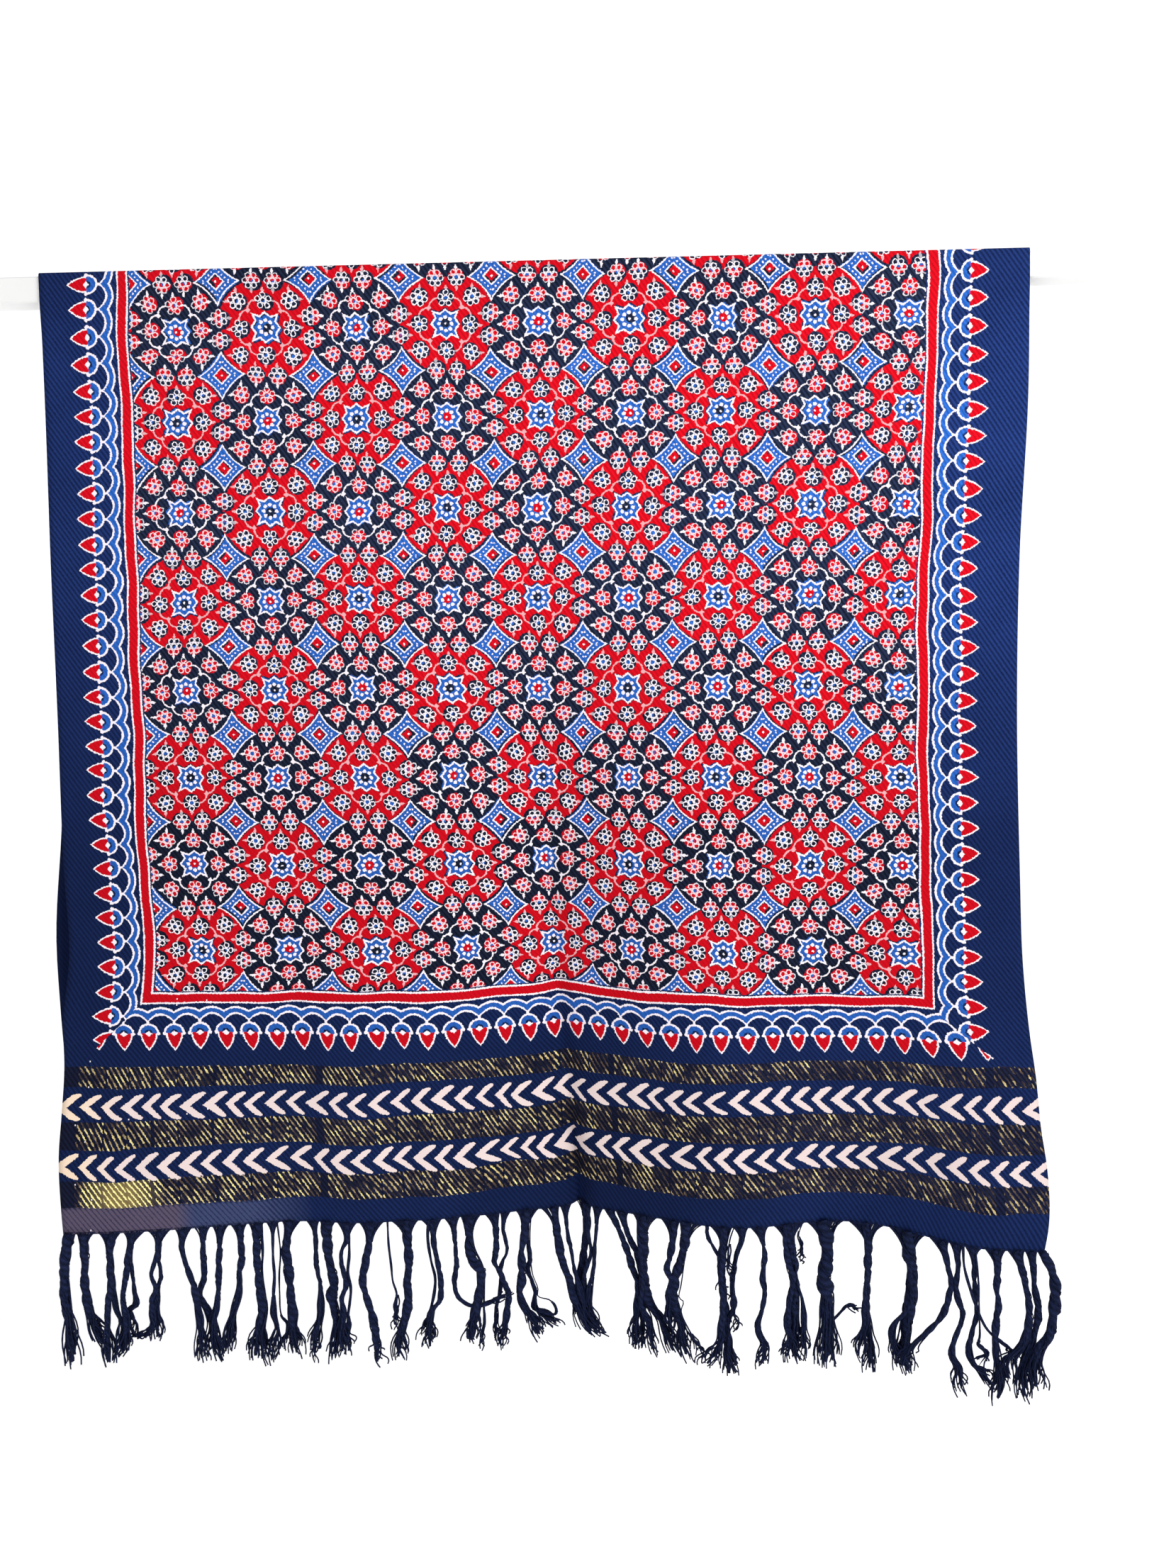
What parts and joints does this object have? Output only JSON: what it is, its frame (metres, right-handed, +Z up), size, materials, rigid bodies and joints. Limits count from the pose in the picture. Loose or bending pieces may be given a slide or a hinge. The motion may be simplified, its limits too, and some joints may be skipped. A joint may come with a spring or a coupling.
{
  "type": "ajrakh stole on a rail",
  "caption": "Block-printed twill stole draped double over a plain square rail, its front end with woven gold bands and a twisted fringe.",
  "frame": {"origin": "middle of the rail's right end face", "axes": "+X along the rail, out of its right end; +Z up; the printed front of the stole faces -Y"},
  "size_m": [1, 0.0869, 0.8198],
  "materials": {
    "rail": "white satin paint on pine",
    "cloth": "matt cotton twill, block printed in red, blue and white on indigo",
    "yarn": "matt twisted cotton yarn"
  },
  "bodies": {
    "root": {"rail": "rail", "stole": "cloth", "fringe": "yarn"}
  },
  "joints": []
}
